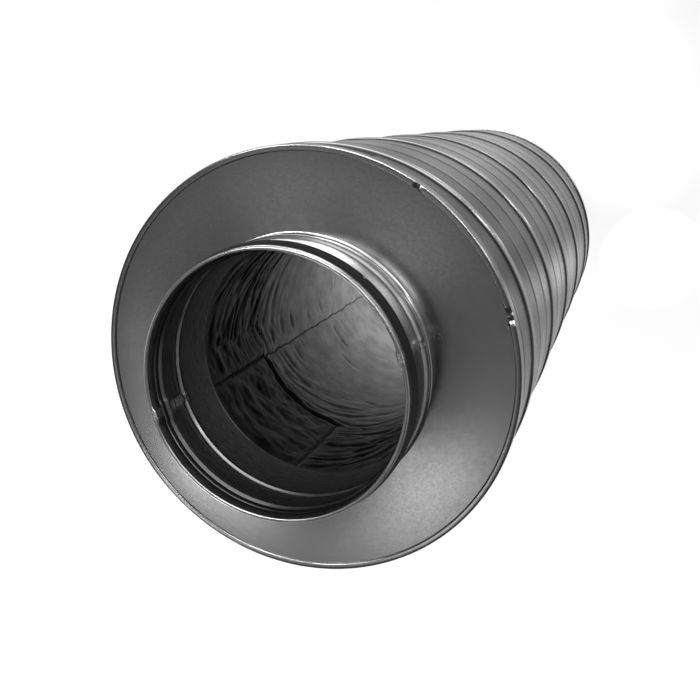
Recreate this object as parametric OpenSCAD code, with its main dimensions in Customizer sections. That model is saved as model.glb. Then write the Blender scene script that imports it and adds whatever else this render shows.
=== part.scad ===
// Round duct sound attenuator: a spiral-wound steel casing lined with mineral wool,
// closed by two pressed end plates that each carry a gasketed spigot for the duct.
// The axis is vertical. The part stands on the hem of its rear spigot at z = 0.

/* [Duct connection] */
// Inside diameter of the duct that slides over each spigot
duct_d = 160; // [150:1:170]
// Gap between the spigot sleeve and the duct wall
duct_clearance = 0.8; // [0.6:0.1:1.2]
// Length of each spigot outside the rim of its end plate
spigot_out = 47; // [38:0.5:60]
// Length of each spigot inside the rim, under the edge of the lining
spigot_in = 30; // [20:1:60]
// Sheet thickness of the spigots
spigot_wall = 0.6; // [0.5:0.05:0.7]

/* [Stop bead] */
// Height of the bead crest above the rim
stop_bead_at = 8.5; // [7:0.5:14]
// Width of the bead along the axis
stop_bead_w = 7; // [6:0.5:9]
// Height of the bead above the sleeve
stop_bead_h = 2; // [1.6:0.1:2.4]
// Angle between the flank of the bead and the sleeve
stop_bead_flank = 42; // [40:1:45]

/* [Gasket seat] */
// Length of the shoulder along the axis
shoulder_len = 3.2; // [2.8:0.1:4]
// Step from the sleeve in to the gasket seat
seat_depth = 1.6; // [1.3:0.1:1.8]
// Rise of the bead that ends the seat, measured inwards
seat_bead_h = 2.2; // [1.6:0.1:2.4]
// Length of the slope from the seat to the crest of that bead
seat_bead_len = 2.3; // [2:0.1:3]
// Distance from the end of the spigot to the fine rib inside the seat
seat_rib_from_end = 9.2; // [8.5:0.1:9.8]
// Rise of the fine rib, measured inwards
seat_rib_h = 0.7; // [0.3:0.1:0.9]
// Width of the fine rib along the axis
seat_rib_w = 2; // [1.6:0.1:2.4]
// Length of the hem that folds back over the gasket foot
hem_len = 5; // [4:0.25:6]
// Width of the flat on the nose of the hem
hem_land = 0.4; // [0.2:0.05:0.6]

/* [Gasket] */
// Thickness of the gasket foot under the hem
foot_t = 1.1; // [1:0.05:1.4]
// Thickness of the gasket body between its lips
gasket_body_t = 1.4; // [1.2:0.05:1.6]
// Height of the lip tips above the duct wall before the lips bend
lip_reach = 1; // [0.6:0.1:1.5]
// Length of the flat on each lip tip
lip_land = 1; // [0.6:0.1:1.2]
// Thickness of a lip at its root
lip_root = 2.2; // [1.8:0.1:2.6]
// Lean of a lip tip away from the end of the spigot
lip_lean = 2.1; // [1.5:0.1:2.5]
// Spacing of the two lips
lip_spacing = 5.2; // [5:0.1:6]
// Plain length of the gasket between its inner lip and the shoulder
gasket_tail = 2.8; // [2:0.1:4]
// Gap between the gasket foot and the sheet round it
foot_clearance = 0.05; // [0.02:0.01:0.1]
// Length of the gasket heel along the axis, beside the slope of the seat bead
heel_len = 1.3; // [0.8:0.1:1.4]
// Gap along the axis between the heel and that slope
heel_gap = 0.2; // [0.2:0.05:0.4]

/* [End plates] */
// Sheet thickness of the end plates
plate_wall = 0.7; // [0.6:0.05:0.8]
// Depth of the flat below the rim
plate_recess = 1.2; // [1:0.1:2.5]
// Height of the collar above the rim
collar_h = 1.5; // [1:0.25:3]
// Bend radius where the flat turns up into the collar
collar_bend = 2; // [1.5:0.25:2.5]
// Width of the raised band that runs round the edge
rim_w = 3.8; // [3.4:0.1:5]
// Bend radius at the step up to the band and at its outer edge
rim_bend = 0.45; // [0.42:0.01:0.5]
// Length of the rim skirt outside the casing
skirt_len = 8; // [6:0.5:12]
// Gap between the collar and the spigot
collar_clearance = 0.1; // [0.05:0.01:0.2]
// Gap between the folded rim and the casing
rim_clearance = 0.2; // [0.15:0.01:0.3]

/* [Casing] */
// Thickness of the wool between the duct line and the casing
wool_t = 50; // [40:1:60]
// Length of the body from rim to rim
body_len = 600; // [500:10:900]
// Sheet thickness of the casing
casing_wall = 0.6; // [0.5:0.05:0.8]
// Rise of the helical seam in one turn
seam_pitch = 119; // [100:1:140]
// Distance from the front rim to the seam on the +X side
seam_from_front = 58; // [50:1:70]
// Width of the lock seam
seam_w = 8; // [6:0.5:10]
// Height of the lock seam above the tube
seam_h = 1.5; // [1:0.1:2]
// Width of each flank of the lock seam
seam_flank = 1.05; // [0.6:0.05:1.5]
// Dip between the two edges of the lock seam
seam_dip = 0.4; // [0.2:0.1:0.6]
// Width of the flat at the bottom of the dip
seam_flat = 2; // [1:0.25:3]
// Shallow ribs between two turns of the seam
rib_count = 2; // [1:1:3]
// Width of a shallow rib
rib_w = 9; // [7:0.5:12]
// Height of a shallow rib
rib_h = 0.4; // [0.2:0.05:0.8]
// Plain length of casing beside a rim skirt, where the seam is pressed flat
seam_clear = 3; // [3:0.5:6]
// Length over which the seam rises to its full height
seam_fade = 6; // [4:0.5:10]

/* [Lining] */
// Thickness of the tissue facing on the wool
facing_t = 0.5; // [0.3:0.05:1]
// Gap between the spigot sleeve and the facing
lining_clearance = 0.2; // [0.1:0.05:0.4]
// Gap between the wool and the steel round it
wool_clearance = 0.2; // [0.1:0.05:0.3]
// Distance from the front rim to the joint between the front and rear batts
ring_joint_at = 117; // [80:1:200]
// Angle of the long axial joint, anticlockwise seen from the front
long_joint_angle = 197; // [180:1:220]
// Angle of the wool piece that closes the front ring
infill_angle = 57; // [40:1:80]
// Gap left in the wool at a joint
joint_gap = 0.6; // [0.4:0.1:1]
// Gap left in the facing at a joint
facing_gap = 1.6; // [1.2:0.1:3]

/* [Hidden] */
$fn = 96;

zinc = "#8e9194";
bright_zinc = "#a4a7aa";
rubber = "#1a1a1c";
wool = "#5d5847";
tissue = "#2c2c2e";

// Heights of the two rims
rear_rim_z = spigot_out;
front_rim_z = rear_rim_z + body_len;

// Radii from the duct line outwards
sleeve_r = duct_d / 2 - duct_clearance;
lip_r = duct_d / 2 + lip_reach;
facing_r = sleeve_r + lining_clearance;
wool_in_r = facing_r + facing_t;
casing_in_r = duct_d / 2 + wool_t;
casing_out_r = casing_in_r + casing_wall;
wool_out_r = casing_in_r - wool_clearance;

// Centre lines of the spigot sheet
sleeve_line = sleeve_r - spigot_wall / 2;
seat_line = sleeve_line - seat_depth;
seat_r = seat_line + spigot_wall / 2;
foot_room = foot_t + 2 * foot_clearance;
hem_line = seat_line + spigot_wall + foot_room;
hem_bend = (hem_line - seat_line - hem_land) / 2;
sheet_bend = 2 * spigot_wall;
fine_bend = spigot_wall;

// The flanks of the stop bead would meet at a point, which a bend rounds down to the bead height
stop_bead_point = stop_bead_w / 2 * tan(stop_bead_flank);
stop_bead_bend = (stop_bead_point - stop_bead_h) / (1 / cos(stop_bead_flank) - 1);

// Heights of the gasket and its seat above the rim, set from the end of the spigot
under_hem = spigot_out - hem_len - 2 * foot_clearance;
outer_lip = under_hem - lip_root;
inner_lip = outer_lip - lip_spacing;
seat_start = inner_lip - gasket_tail;
shoulder_at = seat_start - shoulder_len;

// Centre lines of the plate sheet
collar_line = sleeve_r + collar_clearance + plate_wall / 2;
skirt_line = casing_out_r + rim_clearance + plate_wall / 2;
rim_line = skirt_line - rim_w + plate_wall;
plate_depth = plate_recess + plate_wall;

// The casing reaches up inside the fold of each rim
casing_inset = plate_wall + rim_clearance;
casing_low = rear_rim_z + casing_inset;
casing_high = front_rim_z - casing_inset;

// Lengths of the lining
lining_low = rear_rim_z + plate_depth + wool_clearance;
lining_high = front_rim_z - plate_depth - wool_clearance;
ring_joint_z = front_rim_z - ring_joint_at;

// Angles of the front batt, which leaves room for the infill piece
batt_start = long_joint_angle + infill_angle;
batt_sweep = 360 - infill_angle;

// Straight pieces that stand for one bend
bend_steps = 6;

function unit(v) = v / norm(v);
function left_of(v) = [-v[1], v[0]];
function angle_of(v) = atan2(v[1], v[0]);
function reversed(list) = [for (i = [len(list) - 1 : -1 : 0]) list[i]];
function point_of(corner) = [corner[0], corner[1]];
function on_circle(centre, radius, a) = centre + radius * [cos(a), sin(a)];

// Turn from one direction to another, between -180 and 180 degrees
function turn_between(a, b) = (b - a + 540) % 360 - 180;

// Arc of the given radius that rounds the corner p between before and after
function bend(before, p, after, radius) =
    let (
        u = unit(before - p),
        v = unit(after - p),
        half = acos(u * v) / 2,
        centre = p + unit(u + v) * radius / sin(half),
        start = p + u * radius / tan(half),
        finish = p + v * radius / tan(half),
        a0 = angle_of(start - centre),
        sweep = turn_between(a0, angle_of(finish - centre))
    )
    [for (i = [0 : bend_steps]) on_circle(centre, radius, a0 + sweep * i / bend_steps)];

// Centre line of a bent sheet, from corners that each hold radius, height and bend
function bent_line(corners) = [
    for (i = [0 : len(corners) - 1])
        let (p = point_of(corners[i]))
        each i == 0 || i == len(corners) - 1
            ? [p]
            : bend(point_of(corners[i - 1]), p, point_of(corners[i + 1]), corners[i][2])
];

// Offset of the line at one of its points, mitred between its two stretches
function mitre(line, i) =
    let (
        last = len(line) - 1,
        before = unit(line[max(i, 1)] - line[max(i, 1) - 1]),
        after = unit(line[min(i, last - 1) + 1] - line[min(i, last - 1)]),
        middle = unit(left_of(before) + left_of(after))
    )
    middle / (middle * left_of(before));

function beside(line, d) = [for (i = [0 : len(line) - 1]) line[i] + d * mitre(line, i)];

// Ring of bent sheet about the axis
module sheet_ring(corners, wall) {
    line = bent_line(corners);
    rotate_extrude()
        polygon(concat(beside(line, wall / 2), reversed(beside(line, -wall / 2))));
}

// Sets a front piece, drawn about its rim plane, at the front or the rear end
module at_front() {
    translate([0, 0, front_rim_z]) children();
}

module at_rear() {
    translate([0, 0, rear_rim_z]) mirror([0, 0, 1]) children();
}

// Helical skin of the casing

// Corners of one pitch of the wall: distance along the axis and height above the tube
seam_corners = [
    [-seam_w / 2, 0],
    [-seam_w / 2 + seam_flank, seam_h],
    [-seam_flat / 2, seam_h - seam_dip],
    [seam_flat / 2, seam_h - seam_dip],
    [seam_w / 2 - seam_flank, seam_h],
    [seam_w / 2, 0],
];
rib_corners = [
    for (i = [1 : rib_count])
        let (middle = seam_pitch * i / (rib_count + 1))
        each [[middle - rib_w / 2, 0], [middle, rib_h], [middle + rib_w / 2, 0]]
];
wall_corners = concat(seam_corners, rib_corners);
rows = len(wall_corners);
columns = 48;

// Corner radius at which flat columns lie half inside and half outside the true radius
function corner_r(r) = r * 2 / (1 + cos(180 / columns));

function column_side(j) = [cos(360 * j / columns), sin(360 * j / columns)];

// Whole turns that cover the casing from below its lower end to above its upper end
seam_z = front_rim_z - seam_from_front;
turns_below = ceil((seam_z - casing_low) / seam_pitch) + 1;
turns_above = ceil((casing_high - seam_z + seam_w) / seam_pitch);
last_row = (turns_below + turns_above) * rows;
skin_low = seam_z - turns_below * seam_pitch;
skin_high = seam_z + (turns_above + 1) * seam_pitch;

// Share of the seam height that is left near a rim skirt
function seam_share(z) =
    let (from_rim = min(z - rear_rim_z, front_rim_z - z))
    max(0, min(1, (from_rim - skirt_len - seam_clear) / seam_fade));

function skin_point(k, j) =
    let (
        corner = wall_corners[k % rows],
        z = skin_low + seam_pitch * (floor(k / rows) + j / columns) + corner[0],
        side = column_side(j),
        r = corner_r(casing_out_r) + corner[1] * seam_share(z)
    )
    [r * side[0], r * side[1], z];

// One turn on, a row of the skin runs into the row that lies a pitch higher
function skin_index(k, j) = j < columns ? k * columns + j : (k + rows) * columns;

module helical_skin() {
    points = [for (k = [0 : last_row]) for (j = [0 : columns - 1]) skin_point(k, j)];
    low_hub = len(points);
    high_hub = low_hub + 1;
    hubs = [[0, 0, skin_low], [0, 0, skin_high]];
    wall = [
        for (j = [0 : columns - 1])
            for (k = [0 : last_row - 1 - (j == columns - 1 ? rows : 0)])
                let (
                    a = skin_index(k, j),
                    b = skin_index(k, j + 1),
                    c = skin_index(k + 1, j + 1),
                    d = skin_index(k + 1, j)
                )
                each [[a, d, c], [a, c, b]]
    ];
    low_edge = concat(
        [for (j = [0 : columns - 1]) skin_index(0, j)],
        [for (k = [rows : -1 : 1]) skin_index(k, 0)]
    );
    high_edge = concat(
        [for (j = [0 : columns - 1]) skin_index(last_row, j)],
        [for (k = [last_row - 1 : -1 : last_row - rows]) skin_index(k, columns - 1)]
    );
    edge_last = len(low_edge) - 1;
    low_cap = [for (i = [0 : edge_last]) [low_hub, low_edge[i], low_edge[(i + 1) % (edge_last + 1)]]];
    high_cap = [for (i = [0 : edge_last]) [high_hub, high_edge[(i + 1) % (edge_last + 1)], high_edge[i]]];
    polyhedron(concat(points, hubs), concat(wall, low_cap, high_cap));
}

module outer_casing() {
    color(zinc)
        difference() {
            intersection() {
                helical_skin();
                translate([0, 0, casing_low])
                    cylinder(h = casing_high - casing_low, r = casing_out_r + 2 * seam_h);
            }
            translate([0, 0, skin_low])
                linear_extrude(skin_high - skin_low)
                    polygon([for (j = [0 : columns - 1]) corner_r(casing_in_r) * column_side(j)]);
        }
}

// Pressed lid: collar, flat, raised rim band and skirt in one sheet
module end_plate() {
    flat = -plate_recess - plate_wall / 2;
    crest = -plate_wall / 2;
    color(zinc)
        sheet_ring([
            [collar_line, collar_h],
            [collar_line, flat, collar_bend],
            [rim_line, flat, rim_bend],
            [rim_line, crest, rim_bend],
            [skirt_line, crest, rim_bend],
            [skirt_line, -skirt_len],
        ], plate_wall);
}

// Rolled sleeve: plain inner end, stop bead, gasket seat and folded hem in one sheet
module spigot() {
    rib_at = spigot_out - seat_rib_from_end;
    nose = spigot_out - spigot_wall / 2;
    color(bright_zinc)
        sheet_ring([
            [sleeve_line, -spigot_in],
            [sleeve_line, stop_bead_at - stop_bead_w / 2, sheet_bend],
            [sleeve_line + stop_bead_point, stop_bead_at, stop_bead_bend],
            [sleeve_line, stop_bead_at + stop_bead_w / 2, sheet_bend],
            [sleeve_line, shoulder_at, sheet_bend],
            [seat_line - seat_bead_h, seat_start, sheet_bend],
            [seat_line, seat_start + seat_bead_len, fine_bend],
            [seat_line, rib_at - seat_rib_w / 2, fine_bend],
            [seat_line - seat_rib_h, rib_at, fine_bend],
            [seat_line, rib_at + seat_rib_w / 2, fine_bend],
            [seat_line, nose, hem_bend],
            [hem_line, nose, hem_bend],
            [hem_line, spigot_out - hem_len],
        ], spigot_wall);
}

// Rubber ring: heel in the seat bead, clamped foot, body and two lips that lean away from the end
module gasket() {
    inside = seat_r + foot_clearance;
    heel_top = seat_start + seat_bead_len - heel_gap;
    heel_in = heel_len * seat_bead_h / seat_bead_len;
    clamped = inside + foot_t;
    body = inside + gasket_body_t;
    top = spigot_out - spigot_wall / 2 - hem_bend;
    color(rubber)
        rotate_extrude()
            polygon(concat(
                [[inside - heel_in, heel_top - heel_len], [body, seat_start]],
                [
                    for (root = [inner_lip, outer_lip])
                        each [
                            [body, root],
                            [lip_r, root - lip_lean],
                            [lip_r, root - lip_lean + lip_land],
                            [body, root + lip_root],
                        ]
                ],
                [[clamped, under_hem], [clamped, top], [inside, top], [inside, heel_top]]
            ));
}

// Sector of a ring round the axis, with half of the gap taken off each straight end
module ring_sector(r_in, r_out, low, high, start, sweep, gap) {
    trim = gap / 2 / r_in * 180 / PI;
    rotate([0, 0, start + trim])
        rotate_extrude(angle = sweep - 2 * trim)
            translate([r_in, low])
                square([r_out - r_in, high - low]);
}

module front_ring(r_in, r_out, start, sweep, gap) {
    ring_sector(r_in, r_out, ring_joint_z + gap / 2, lining_high, start, sweep, gap);
}

module rear_ring(r_in, r_out, gap) {
    ring_sector(r_in, r_out, lining_low, ring_joint_z - gap / 2, long_joint_angle, 360, gap);
}

module front_end_plate() { at_front() end_plate(); }
module rear_end_plate() { at_rear() end_plate(); }
module front_spigot() { at_front() spigot(); }
module rear_spigot() { at_rear() spigot(); }
module front_gasket() { at_front() gasket(); }
module rear_gasket() { at_rear() gasket(); }

module front_wool_batt() {
    color(wool) front_ring(wool_in_r, wool_out_r, batt_start, batt_sweep, joint_gap);
}

module infill_wool_batt() {
    color(wool) front_ring(wool_in_r, wool_out_r, long_joint_angle, infill_angle, joint_gap);
}

module rear_wool_batt() {
    color(wool) rear_ring(wool_in_r, wool_out_r, joint_gap);
}

module front_facing() {
    color(tissue) front_ring(facing_r, wool_in_r, batt_start, batt_sweep, facing_gap);
}

module infill_facing() {
    color(tissue) front_ring(facing_r, wool_in_r, long_joint_angle, infill_angle, facing_gap);
}

module rear_facing() {
    color(tissue) rear_ring(facing_r, wool_in_r, facing_gap);
}

outer_casing();
front_end_plate();
rear_end_plate();
front_spigot();
rear_spigot();
front_gasket();
rear_gasket();
front_wool_batt();
infill_wool_batt();
rear_wool_batt();
front_facing();
infill_facing();
rear_facing();
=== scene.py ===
"""Looks of a round duct sound attenuator: spiral casing, end plates, gasketed spigots, wool lining."""

import logging
import math
from abc import ABC, abstractmethod
from dataclasses import dataclass
from enum import Enum
from typing import Any, Sequence

import bmesh
import bpy
from bmesh.types import BMesh, BMVert
from bpy.types import Material, Node, NodeSocket, NodeTree, Object
from mathutils import Matrix, Vector, noise


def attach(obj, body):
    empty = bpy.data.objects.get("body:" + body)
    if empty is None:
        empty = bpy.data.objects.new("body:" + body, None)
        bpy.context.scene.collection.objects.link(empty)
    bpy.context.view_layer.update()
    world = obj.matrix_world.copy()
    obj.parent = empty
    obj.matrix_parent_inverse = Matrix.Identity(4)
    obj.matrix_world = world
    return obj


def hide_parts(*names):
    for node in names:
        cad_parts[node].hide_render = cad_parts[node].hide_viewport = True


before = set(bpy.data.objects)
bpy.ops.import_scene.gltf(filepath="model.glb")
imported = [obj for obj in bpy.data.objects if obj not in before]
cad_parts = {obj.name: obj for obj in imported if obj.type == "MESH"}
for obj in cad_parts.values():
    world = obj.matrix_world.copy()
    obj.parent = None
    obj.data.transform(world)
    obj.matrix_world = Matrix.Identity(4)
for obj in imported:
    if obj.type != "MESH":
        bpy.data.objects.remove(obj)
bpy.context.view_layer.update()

MM = 0.001
WHITE = "#ffffff"
MERGE = 0.01 * MM
CUT = 0.001 * MM
log = logging.getLogger("attenuator")

Colour = tuple[float, float, float, float]
Span = tuple[float, float]
Point = tuple[float, float, float]

# Stretches of the object's coordinates: as they are, without the height, and the height alone.
PLAIN: Point = (1.0, 1.0, 1.0)
FLAT: Point = (1.0, 1.0, 0.0)
UPRIGHT: Point = (0.0, 0.0, 1.0)


class End(Enum):
    """The two ends of the attenuator, with the height of the rim and the way out along the axis."""

    FRONT = ("front", 647.0, 1.0)
    REAR = ("rear", 47.0, -1.0)

    def __init__(self, label: str, rim: float, way: float) -> None:
        """Keeps the words and sizes of this end."""
        self.label = label
        self.rim = rim
        self.way = way

    def height(self, above_rim: float) -> float:
        """Height over the floor, in mm, of a point that lies this far outside the rim."""
        return self.rim + self.way * above_rim

    def above_rim(self, z: float) -> float:
        """Distance outside the rim, in mm, of a point at height z in metres."""
        return (z / MM - self.rim) * self.way


class Slot(Enum):
    """Material slots of the record."""

    CASING = "casing_sheet"
    PLATE = "plate_sheet"
    SPIGOT = "spigot_sheet"
    RUBBER = "gasket_rubber"
    TISSUE = "glass_tissue"


def linear(hex_code: str) -> Colour:
    """Turns an sRGB hex colour such as "#8e9194" to linear RGBA."""
    parts = [int(hex_code[i : i + 2], 16) / 255 for i in (1, 3, 5)]
    r, g, b = [p / 12.92 if p <= 0.04045 else ((p + 0.055) / 1.055) ** 2.4 for p in parts]
    return (r, g, b, 1.0)


def smooth_step(low: float, high: float, value: float) -> float:
    """Share from 0 at low to 1 at high, with soft ends."""
    t = min(1.0, max(0.0, (value - low) / (high - low)))
    return t * t * (3 - 2 * t)


def bell(value: float, middle: float, half: float) -> float:
    """Share that is 1 at the middle and falls softly to both sides, to 0.37 at half."""
    return math.exp(-(((value - middle) / half) ** 2))


def degrees_apart(a: float, b: float) -> float:
    """Signed angle from b to a, in degrees from -180 to 180."""
    return (a - b + 180) % 360 - 180


def per_mm(size: float) -> float:
    """Texture scale per metre at which one feature of a noise is about this many mm wide."""
    return 1 / (size * MM)


def metres(span: Span) -> Span:
    """Turns two lengths in mm to metres."""
    return (span[0] * MM, span[1] * MM)


def feed(tree: NodeTree, node: Node, inputs: dict[Any, Any]) -> None:
    """Sets inputs of a node, by name or number, each to a value or by a link from a socket."""
    for key, value in inputs.items():
        if isinstance(value, NodeSocket):
            tree.links.new(value, node.inputs[key])
        else:
            node.inputs[key].default_value = value


def add_node(tree: NodeTree, kind: str, inputs: dict[Any, Any], **settings: Any) -> Node:
    """Adds a shader node.

    Args:
        tree: the material's node tree.
        kind: Blender's name for the node.
        inputs: a value, or a socket to link, for each input by its name or number.
        **settings: the node's own settings.

    Returns:
        The new node.
    """
    made = tree.nodes.new(kind)
    for name, value in settings.items():
        setattr(made, name, value)
    feed(tree, made, inputs)
    return made


@dataclass(frozen=True)
class Pattern:
    """Nodes that draw a finish on the shader of its material, with sizes in mm."""

    tree: NodeTree
    shader: Node

    def put(self, name: str, value: Any) -> None:
        """Sets an input of the shader, or links it where the value is a socket."""
        feed(self.tree, self.shader, {name: value})

    def add(self, kind: str, inputs: dict[Any, Any], **settings: Any) -> Node:
        """Adds a node to the material."""
        return add_node(self.tree, kind, inputs, **settings)

    def place(self, stretch: Point = PLAIN) -> NodeSocket:
        """Returns the object's own coordinates in metres, multiplied by stretch."""
        where = self.add("ShaderNodeTexCoord", {}).outputs["Object"]
        return self.add("ShaderNodeMapping", {"Vector": where, "Scale": stretch}).outputs["Vector"]

    def speckle(self, size: float, stretch: Point = PLAIN, **more: float) -> NodeSocket:
        """Adds a noise with features this wide in mm, and with this detail, roughness and distortion."""
        inputs = {"Vector": self.place(stretch), "Scale": per_mm(size)}
        inputs |= {key.title(): value for key, value in more.items()}
        return self.add("ShaderNodeTexNoise", inputs).outputs["Fac"]

    def streaks(self, line: Span, **more: float) -> NodeSocket:
        """Adds a noise drawn out to lines across the axis, of this length and width in mm."""
        return self.speckle(1.0, (1 / line[0], 1 / line[0], 1 / line[1]), **more)

    def spread(
        self, value: NodeSocket, source: Span, target: Span = (0.0, 1.0), kind: str = "LINEAR"
    ) -> NodeSocket:
        """Maps a value from the source range to the target range, and returns it."""
        ends = {"From Min": source[0], "From Max": source[1], "To Min": target[0], "To Max": target[1]}
        made = self.add("ShaderNodeMapRange", {"Value": value, **ends}, interpolation_type=kind)
        return made.outputs["Result"]

    def blend(self, share: NodeSocket, first: str | NodeSocket, second: str) -> NodeSocket:
        """Lays a hex colour over another colour by a share and returns the mix."""
        under = linear(first) if isinstance(first, str) else first
        inputs = {0: share, 6: under, 7: linear(second)}
        return self.add("ShaderNodeMix", inputs, data_type="RGBA").outputs[2]

    def reckon(self, operation: str, *values: float | NodeSocket) -> NodeSocket:
        """Applies an operation to numbers and returns the result."""
        return self.add("ShaderNodeMath", dict(enumerate(values)), operation=operation).outputs[0]

    def measure(self, operation: str, *vectors: Point | NodeSocket) -> NodeSocket:
        """Applies an operation that gives a number to vectors and returns the result."""
        inputs = dict(enumerate(vectors))
        return self.add("ShaderNodeVectorMath", inputs, operation=operation).outputs["Value"]

    def emboss(self, height: NodeSocket, bump: Span) -> None:
        """Gives the shader a bump of this strength, and this depth in mm."""
        inputs = {"Height": height, "Strength": bump[0], "Distance": bump[1] * MM}
        self.put("Normal", self.add("ShaderNodeBump", inputs).outputs["Normal"])


@dataclass(frozen=True)
class Finish(ABC):
    """A surface finish: its colour and gloss, and a pattern that its own class draws.

    In the finishes a size is in mm, a span is the part of a noise's range that is used, and a bump is
    its strength and its depth in mm.
    """

    name: str
    colour: str
    metallic: float = 0.0
    roughness: float = 0.5

    def material(self) -> Material:
        """Returns the finish as a material, made at its first use."""
        found = bpy.data.materials.get(self.name)
        if found:
            return found
        made = bpy.data.materials.new(self.name)
        made.use_nodes = True
        tree = made.node_tree
        tree.nodes.clear()
        gloss = {"Metallic": self.metallic, "Roughness": self.roughness}
        shader = add_node(tree, "ShaderNodeBsdfPrincipled", {"Base Color": linear(self.colour), **gloss})
        add_node(tree, "ShaderNodeOutputMaterial", {"Surface": shader.outputs["BSDF"]})
        self.draw(Pattern(tree, shader))
        return made

    @abstractmethod
    def draw(self, ink: Pattern) -> None:
        """Draws the pattern of this finish."""


@dataclass(frozen=True)
class GalvanisedStrip(Finish):
    """Galvanised steel strip, cold rolled and wound: satin grey zinc, partly darkened as painted shade,
    with faint lines along the strip.
    """

    name: str = "galvanised_steel_strip"
    # grey zinc, partly its own colour and partly painted shade: darker than the zinc for the shaded floor
    # that the casing mirrors near its base
    colour: str = "#616161"
    metallic: float = 1.0
    roughness: float = 0.2
    dull: str = "#515151"
    edge: str = "#aeaeae"
    # painted highlight: lighter zinc on the seam crests, brighter than the darkened flats
    painted_seam_highlight: str = "#b4b4b4"
    seam_radii: Span = (131.05, 131.5)
    grain: float = 1.6
    cloud: float = 38.0
    cloud_span: Span = (0.35, 0.65)
    line: Span = (60.0, 1.1)
    rough_span: Span = (0.7, 1.3)
    rough_range: Span = (0.15, 0.27)
    bump: Span = (0.12, 0.15)

    def draw(self, ink: Pattern) -> None:
        """Draws clouds of duller zinc, a grain, lines round the tube and a painted highlight of lighter
        zinc on the seam crests.
        """
        ink.put("Specular Tint", linear(self.edge))
        cloud = ink.speckle(self.cloud, detail=3.0, roughness=0.6)
        lines = ink.streaks(self.line, detail=2.0, roughness=0.5)
        both = ink.reckon("ADD", lines, ink.speckle(self.grain, detail=2.0))
        zinc = ink.blend(ink.spread(cloud, self.cloud_span), self.colour, self.dull)
        radius = ink.measure("LENGTH", ink.place(FLAT))
        # painted highlight on the seam crests, which stand out past the casing's radius
        seam = ink.spread(radius, metres(self.seam_radii))
        ink.put("Base Color", ink.blend(seam, zinc, self.painted_seam_highlight))
        ink.put("Roughness", ink.spread(both, self.rough_span, self.rough_range))
        ink.emboss(both, self.bump)


@dataclass(frozen=True)
class SpangledSheet(Finish):
    """Galvanised steel sheet, pressed: dull zinc in small crystals, each a little lighter or darker."""

    name: str = "galvanised_steel_spangle"
    colour: str = "#a4a4a4"
    metallic: float = 1.0
    roughness: float = 0.2
    dull: str = "#989898"
    haze: str = "#b4b4b4"
    edge: str = "#a6a6a6"
    crystal: float = 1.0
    cloud: float = 30.0
    zinc_span: Span = (0.4, 1.6)
    haze_radii: Span = (95.0, 83.0)
    haze_most: float = 0.7
    smear: float = 7.0
    smear_span: Span = (0.42, 0.7)
    weld: Span = (84.5, 19.0)
    reach: Span = (9.0, 2.0)
    spatter: float = 1.3
    spatter_span: Span = (0.55, 0.75)
    rough_span: Span = (0.3, 1.7)
    rough_range: Span = (0.194, 0.206)
    bump: Span = (0.25, 0.3)

    def draw(self, ink: Pattern) -> None:
        """Draws the crystals, the haze left by fitting round the collar and the spatter by the weld."""
        ink.put("Specular Tint", linear(self.edge))
        inputs = {"Vector": ink.place(), "Scale": per_mm(self.crystal)}
        crystal = ink.add("ShaderNodeTexVoronoi", inputs).outputs["Color"]
        shade = ink.add("ShaderNodeSeparateColor", {"Color": crystal}).outputs[0]
        mixed = ink.reckon("ADD", shade, ink.speckle(self.cloud, detail=4.0))
        zinc = ink.blend(ink.spread(mixed, self.zinc_span), self.colour, self.dull)
        flat = ink.place(FLAT)
        near = ink.spread(ink.measure("LENGTH", flat), metres(self.haze_radii))
        smear = ink.speckle(self.smear, detail=5.0, roughness=0.65)
        patch = ink.spread(smear, self.smear_span, (0.0, self.haze_most))
        hazy = ink.blend(ink.reckon("MULTIPLY", near, patch), zinc, self.haze)
        ink.put("Base Color", hazy)
        ink.put("Roughness", ink.spread(mixed, self.rough_span, self.rough_range))
        away = ink.measure("DISTANCE", flat, (*metres(self.weld), 0.0))
        close = ink.spread(away, metres(self.reach))
        drops = ink.spread(ink.speckle(self.spatter, detail=1.0), self.spatter_span)
        ink.emboss(ink.reckon("MULTIPLY", close, drops), self.bump)


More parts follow.
